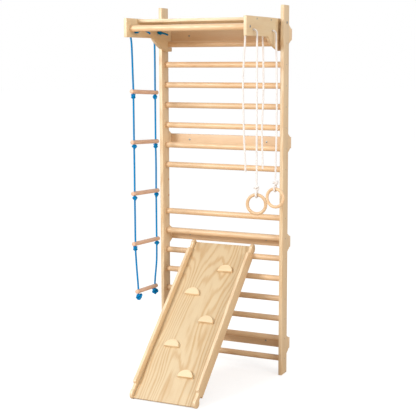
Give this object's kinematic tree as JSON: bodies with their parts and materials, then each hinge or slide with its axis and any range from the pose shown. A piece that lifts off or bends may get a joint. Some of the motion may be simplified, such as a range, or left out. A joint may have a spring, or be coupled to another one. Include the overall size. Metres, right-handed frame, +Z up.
{
  "type": "children's wall bars with hook-on slide",
  "caption": "Wooden wall bars for children with a pull-up unit, rope ladder, gymnastic rings and a climbing slide hooked over a rung.",
  "frame": {"origin": "on the floor, under the centre of the box round everything but the ropes", "axes": "+X along the rungs, from the rope ladder to the rings; +Y towards the wall; +Z up"},
  "size_m": [0.877, 0.8996, 2.2],
  "materials": {
    "pine": "clear satin lacquer on pine",
    "beech": "turned, clear satin lacquer",
    "board_wood": "planed pine, clear matt",
    "plywood": "birch plywood, clear satin lacquer, plies seen on the edges",
    "hold_wood": "pale wood, clear matt",
    "ladder_rung_wood": "turned beech, clear matt",
    "blue_rope": "braided blue rope, slightly shiny",
    "white_rope": "braided white rope, matt",
    "steel": "zinc-plated"
  },
  "bodies": {
    "wall_bars": {"rung_01": "beech", "rung_02": "beech", "rung_03": "beech", "rung_04": "beech", "rung_05": "beech", "rung_06": "beech", "rung_07": "beech", "rung_08": "beech", "rung_09": "beech", "rung_10": "beech", "rung_11": "beech", "rung_12": "beech", "rung_13": "beech", "rung_14": "beech", "rung_15": "beech", "post_left_lower": "pine", "post_left_upper": "pine", "post_right_lower": "pine", "post_right_upper": "pine", "crossboard_1": "board_wood", "standoff_1_left": "pine", "standoff_1_right": "pine", "crossboard_2": "board_wood", "standoff_2_left": "pine", "standoff_2_right": "pine", "crossboard_3": "board_wood", "standoff_3_left": "pine", "standoff_3_right": "pine", "crossboard_4": "board_wood", "standoff_4_left": "pine", "standoff_4_right": "pine", "pullup_panel_left": "plywood", "pullup_panel_right": "plywood", "pullup_bar": "beech", "pullup_top_board": "plywood", "unit_bolt_left": "steel", "unit_bolt_right": "steel", "ladder_rope_end_front": "blue_rope", "ladder_rope_end_rear": "blue_rope", "ring_rope_tail_1": "white_rope", "ring_rope_tail_2": "white_rope"},
    "slide_board": {"slide_side_left": "plywood", "slide_side_right": "plywood", "slide_deck": "plywood", "slide_hold_1": "hold_wood", "slide_hold_2": "hold_wood", "slide_hold_3": "hold_wood", "slide_hold_4": "hold_wood", "slide_hold_5": "hold_wood"},
    "rope_ladder": {"ladder_rung_1": "ladder_rung_wood", "ladder_rung_2": "ladder_rung_wood", "ladder_rung_3": "ladder_rung_wood", "ladder_rung_4": "ladder_rung_wood", "ladder_rung_5": "ladder_rung_wood", "ladder_rope_front": "blue_rope", "ladder_rope_rear": "blue_rope"},
    "ring_rope_front": {"ring_rope_1": "white_rope"},
    "ring_front": {"ring_1": "beech"},
    "ring_rope_rear": {"ring_rope_2": "white_rope"},
    "ring_rear": {"ring_2": "beech"}
  },
  "joints": [
    {"name": "slide_lift", "type": "hinge", "parent": "wall_bars", "child": "slide_board", "pos_m": [-0.02165, 0.36283, 0.708], "axis": [-1, 0, 0], "range_deg": [0, 42]},
    {"name": "ladder_swing", "type": "hinge", "parent": "wall_bars", "child": "rope_ladder", "pos_m": [-0.39865, 0.07183, 2.05], "axis": [0, 1, 0], "range_deg": [0, 40]},
    {"name": "ring_swing_front", "type": "hinge", "parent": "wall_bars", "child": "ring_rope_front", "pos_m": [0.35535, -0.07017, 2.05], "axis": [0, -1, 0], "range_deg": [-3, 40]},
    {"name": "ring_tilt_front", "type": "hinge", "parent": "ring_rope_front", "child": "ring_front", "pos_m": [0.37635, -0.07017, 1.147], "axis": [0.9951, 0.0993, 0], "range_deg": [-60, 60]},
    {"name": "ring_swing_rear", "type": "hinge", "parent": "wall_bars", "child": "ring_rope_rear", "pos_m": [0.35535, 0.21283, 2.05], "axis": [0, -1, 0], "range_deg": [-3, 40]},
    {"name": "ring_tilt_rear", "type": "hinge", "parent": "ring_rope_rear", "child": "ring_rear", "pos_m": [0.37635, 0.21283, 1.147], "axis": [0.993, -0.1184, 0], "range_deg": [-60, 60]}
  ]
}
